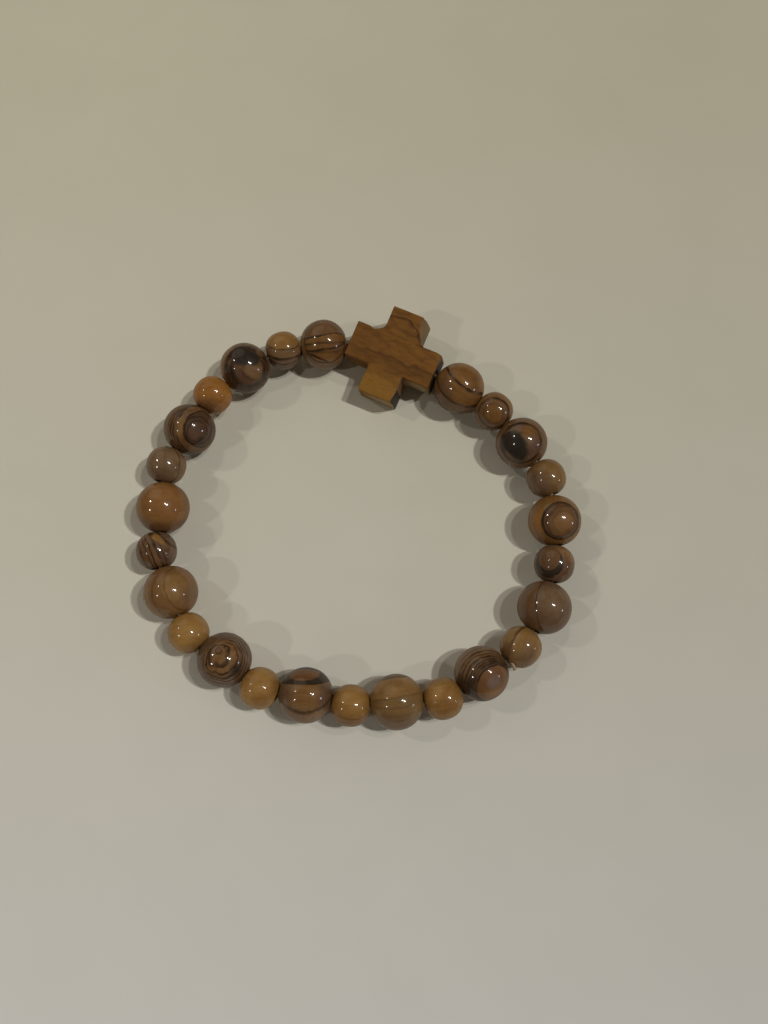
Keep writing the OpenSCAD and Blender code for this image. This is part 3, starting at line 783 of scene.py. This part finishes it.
sway_size = add(tree, "ShaderNodeMapping", {"Vector": grain.outputs[0], "Scale": (3.2, 2.4, 3.0)},
                vector_type="TEXTURE")
sway = add(tree, "ShaderNodeTexNoise", {"Vector": sway_size.outputs[0], "Scale": 1.0, "Detail": 2.0})
waver = add(tree, "ShaderNodeMapRange", {0: sway.outputs[0], 1: 0.25, 2: 0.75, 3: -0.8, 4: 0.8})

# The board's growth lines, each as the way across it, how far out it lies that way, its width in mm,
# its strength, and whether the wood beyond it is golden. The last two make the dark band.
board_lines = (
    (Vector((0.05, 1, -0.35)), 5.2, 0.5, 0.2, False),
    (Vector((0.05, 1, -0.35)), 2.6, 0.7, 0.25, False),
    (Vector((0.08, 1, -0.35)), 0.9, 0.6, 0.2, False),
    (Vector((0.05, -1, -0.35)), 4.2, 0.5, 0.25, False),
    (Vector((0.02, -1, -0.35)), 3.0, 0.8, 0.15, True),
    (Vector((0.06, -1, -0.35)), 0.55, 1.6, 0.28, False),
    (Vector((0.02, -1, -0.35)), -0.1, 0.45, 0.45, False),
)
wood = cloudy.outputs[2]
for way, out, width, strength, golden in board_lines:
    line = add(tree, "ShaderNodeGroup", node_tree=growth_line, wires={
        "Point": grain.outputs[0], "Waver": waver.outputs[0], "Sway": 1.0, "Pole": -way, "Depth": -out,
        "Width": width, "Strength": strength, "Under": wood, "Line": band_colour, "Far": amber_gold,
        "Far share": 0.85 if golden else 0.0, "Soft": 0.9 if golden else 0.5})
    wood = line.outputs[0]

# The growth line that bends round in the upper arm: part of a ragged ring of 5.8 mm about a point left
# of the middle.
height = add(tree, "ShaderNodeSeparateXYZ", {0: grain.outputs[0]})
ring_far = add(tree, "ShaderNodeVectorMath", {0: grain.outputs[0], 1: (-1.15, 0.1, 2.4)},
               operation="DISTANCE")
ring_sway = add(tree, "ShaderNodeMath", {0: waver.outputs[0], 1: 0.35, 2: ring_far.outputs["Value"]},
                operation="MULTIPLY_ADD")
ring_sway = add(tree, "ShaderNodeMath", {0: clouds.outputs[0], 1: 0.9, 2: ring_sway.outputs[0]},
                operation="MULTIPLY_ADD")
ring_place = add(tree, "ShaderNodeMapRange", {0: ring_sway.outputs[0], 1: 5.5, 2: 6.9})
ring_line = add(tree, "ShaderNodeValToRGB", {0: ring_place.outputs[0]})
fill_ramp(ring_line, [(0.2, none), (0.5, (0.8, 0.8, 0.8, 1)), (0.62, none)], "EASE")
upper_part = add(tree, "ShaderNodeMapRange", {0: height.outputs["Y"], 1: 2.2, 2: 3.6})
ring_share = add(tree, "ShaderNodeMath", {0: ring_line.outputs[0], 1: upper_part.outputs[0]},
                 operation="MULTIPLY")
ringed = add(tree, "ShaderNodeMix", {0: ring_share.outputs[0], 6: wood, 7: band_colour}, data_type="RGBA")
wood = ringed.outputs[2]

# Patches of other wood and of painted shade: a deeper left arm, pale grain at the foot and under the bar,
# and near black painted shade at the bar's right end, which faces the first bead across a narrow gap.
# Each is its place, how far it reaches, how far it fades, its share and its colour.
patches = (
    (Vector((-5.2, 0.8, 2.4)), 2.2, 1.2, 0.4, amber_deep),
    (Vector((0.9, -9.6, -1.0)), 3.4, 0.8, 0.9, pale_grain),
    (Vector((5.3, -5.0, -0.5)), 3.1, 0.5, 0.85, pale_grain),
    # Painted shade: the bar's right end, in the narrow gap to the first bead, is painted near black.
    (Vector((9.0, 0.0, -0.8)), 3.3, 0.4, 0.95, black_heart_and_painted_shade),
)
for at, reach, fade, share, tint in patches:
    far = add(tree, "ShaderNodeVectorMath", {0: grain.outputs[0], 1: at}, operation="DISTANCE")
    inside = add(tree, "ShaderNodeMapRange",
                 {0: far.outputs["Value"], 1: reach + fade, 2: reach - fade, 4: share})
    patched = add(tree, "ShaderNodeMix", {0: inside.outputs[0], 6: wood, 7: tint}, data_type="RGBA")
    wood = patched.outputs[2]

# The sawn sides to the right of the upright: black heart by the foot, grey brown grain above it, painted
# as it looks in shade, and pale end grain beside the upper arm.
side_facing = add(tree, "ShaderNodeVectorMath", {0: spot.outputs["Normal"], 1: bar_heading},
                  operation="DOT_PRODUCT")
side_share = add(tree, "ShaderNodeMapRange", {0: side_facing.outputs["Value"], 1: 0.5, 2: 0.7})
up_or_down = add(tree, "ShaderNodeMath", {0: height.outputs["Y"]}, operation="ABSOLUTE")
off_bar = add(tree, "ShaderNodeMapRange", {0: up_or_down.outputs[0], 1: 2.95, 2: 3.15})
side_share = add(tree, "ShaderNodeMath", {0: side_share.outputs[0], 1: off_bar.outputs[0]},
                 operation="MULTIPLY")
side_place = add(tree, "ShaderNodeMapRange", {0: height.outputs["Y"], 1: -7.5, 2: 7.5})
side_wood = add(tree, "ShaderNodeValToRGB", {0: side_place.outputs[0]})
fill_ramp(side_wood, [(0.155, black_heart_and_painted_shade), (0.17, grain_in_painted_shade), (0.74, grain_in_painted_shade), (0.82, end_grain)])
sided = add(tree, "ShaderNodeMix", {0: side_share.outputs[0], 6: wood, 7: side_wood.outputs[0]},
            data_type="RGBA")
wood = sided.outputs[2]

# Streaks of 1.5 by 0.15 mm along the bar, and pores in cells of 0.9 by 0.35 mm.
streak_size = add(tree, "ShaderNodeMapping", {"Vector": grain.outputs[0], "Scale": (1.5, 0.13, 0.16)},
                  vector_type="TEXTURE")
streaks = add(tree, "ShaderNodeTexNoise", {"Vector": streak_size.outputs[0], "Scale": 1.0, "Detail": 3.0})
streak_shade = add(tree, "ShaderNodeMapRange", {0: streaks.outputs[0], 1: 0.25, 2: 0.75, 3: 0.8, 4: 1.2})
pore_size = add(tree, "ShaderNodeMapping", {"Vector": grain.outputs[0], "Scale": (0.9, 0.32, 0.4)},
                vector_type="TEXTURE")
pores = add(tree, "ShaderNodeTexVoronoi", {"Vector": pore_size.outputs[0], "Scale": 1.0})
pore_shade = add(tree, "ShaderNodeMapRange",
                 {0: pores.outputs["Distance"], 1: 0.12, 2: 0.3, 3: 0.78, 4: 1.03})
shade = add(tree, "ShaderNodeMath", {0: streak_shade.outputs[0], 1: pore_shade.outputs[0]},
            operation="MULTIPLY")
wood_colour = add(tree, "ShaderNodeVectorMath", {0: wood, "Scale": shade.outputs[0]}, operation="SCALE")
sheen = add(tree, "ShaderNodeMapRange", {0: streaks.outputs[0], 3: 0.45, 4: 0.65})
relief = add(tree, "ShaderNodeBump", {"Height": streaks.outputs[0], "Strength": 0.5, "Distance": 0.03 * MM})
tree.links.new(wood_colour.outputs[0], shader.inputs["Base Color"])
tree.links.new(sheen.outputs[0], shader.inputs["Roughness"])
tree.links.new(relief.outputs[0], shader.inputs["Normal"])
shader.inputs["Specular IOR Level"].default_value = 0.2

cross = object_from(shape, "sawn_cross", [satin])
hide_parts("cross")
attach(cross, "root")

# THE ELASTIC
# One clear, pale stretch cord of 0.5 mm through every bore, closed by a wound knot inside the eighth
# bead. The knot's trimmed end stands out between that bead and the next.
elastic_radius = 0.25 * MM
knot_bead = 7
# How far the flat mouths of a small and of a large CAD bead are from their middles.
small_mouth_at, large_mouth_at = 2.538 * MM, 3.708 * MM
knot_length, knot_radius = 1.1 * MM, 0.36 * MM
cord_curve = bpy.data.curves.new("elastic_cord", "CURVE")
cord_curve.dimensions = "3D"
cord_curve.bevel_depth = elastic_radius
cord_curve.bevel_resolution = 3
cord_curve.resolution_u = 10
loop = cord_curve.splines.new("BEZIER")
stations = [(cross_middle, bar_heading, bar_half * 0.75)]
stations += [(bead_middles[i], bead_heading(i), (2.2 if i % 2 else 3.0) * MM) for i in range(bead_count)]
loop.bezier_points.add(len(stations) - 1)
for point, (at, way, pull) in zip(loop.bezier_points, stations):
    point.co = at
    point.handle_left = at - way * pull
    point.handle_right = at + way * pull
loop.use_cyclic_u = True

tail_start = bead_middles[knot_bead]
tail_way = bead_heading(knot_bead)
tail_out = Vector((tail_way.y, -tail_way.x, 0))
if tail_out.dot(tail_start - look_at) < 0:
    tail_out = -tail_out
gap_at = (bead_middles[knot_bead] + tail_way * small_mouth_at + bead_middles[knot_bead + 1]
          - bead_heading(knot_bead + 1) * large_mouth_at) / 2
tail = cord_curve.splines.new("BEZIER")
# Its places are out, along and up from the gap in mm, with its thickness there: it is pinched at first.
tail_places = ((0.0, 0.0, 0.0, 0.3), (0.55, -0.02, 0.6, 0.4), (1.15, 0.0, 1.1, 1.0), (1.95, 0.3, 0.9, 1.0))
tail.bezier_points.add(len(tail_places) - 1)
for point, (out, way, up, thick) in zip(tail.bezier_points, tail_places):
    point.co = gap_at + (tail_out * out + tail_way * way + Vector((0, 0, up))) * MM
    point.handle_left_type = point.handle_right_type = "AUTO"
    point.radius = thick

knot = cord_curve.splines.new("POLY")
knot_turns, knot_steps = 3, 20
knot.points.add(knot_turns * knot_steps)
side = Vector((0, 0, 1)).cross(tail_way)
for k, point in enumerate(knot.points):
    angle = 2 * pi * k / knot_steps
    along = (k / (knot_turns * knot_steps) - 0.5) * knot_length
    wound = (side * cos(angle) + Vector((0, 0, 1)) * sin(angle)) * knot_radius
    point.co = (*(tail_start + tail_way * along + wound), 1)
cord_curve.use_fill_caps = True

# Stretch cord of clear polymer gives the eye a milky, slightly yellow strand with a soft wet shine. Its
# colours are painted darker as shade, for the cord is seen only in the shaded gaps between the beads.
strand, tree, shader = blank_material("stretch_cord")
spot = add(tree, "ShaderNodeTexCoord")
haze = add(tree, "ShaderNodeTexNoise",
           {"Vector": spot.outputs["Object"], "Scale": 1 / (0.5 * MM), "Detail": 2.0})
milk_in_painted_shade = add(tree, "ShaderNodeMix", {0: haze.outputs[0], 6: colour("#b8a38a"), 7: colour("#9a846a")},
           data_type="RGBA")
scuff = add(tree, "ShaderNodeMapRange", {0: haze.outputs[0], 3: 0.25, 4: 0.5})
tree.links.new(milk_in_painted_shade.outputs[2], shader.inputs["Base Color"])
tree.links.new(scuff.outputs[0], shader.inputs["Roughness"])
shader.inputs["Specular IOR Level"].default_value = 0.3

drawn = bpy.data.objects.new("drawn_cord", cord_curve)
bpy.context.scene.collection.objects.link(drawn)
bpy.context.view_layer.update()
cord_mesh = bpy.data.meshes.new_from_object(drawn.evaluated_get(bpy.context.evaluated_depsgraph_get()))
bpy.data.objects.remove(drawn)
cord_mesh.name = "stretch_cord"
cord_mesh.materials.clear()
cord_mesh.materials.append(strand)
for polygon in cord_mesh.polygons:
    polygon.use_smooth = True
cord = bpy.data.objects.new("stretch_cord", cord_mesh)
bpy.context.scene.collection.objects.link(cord)
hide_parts("elastic")
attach(cord, "root")
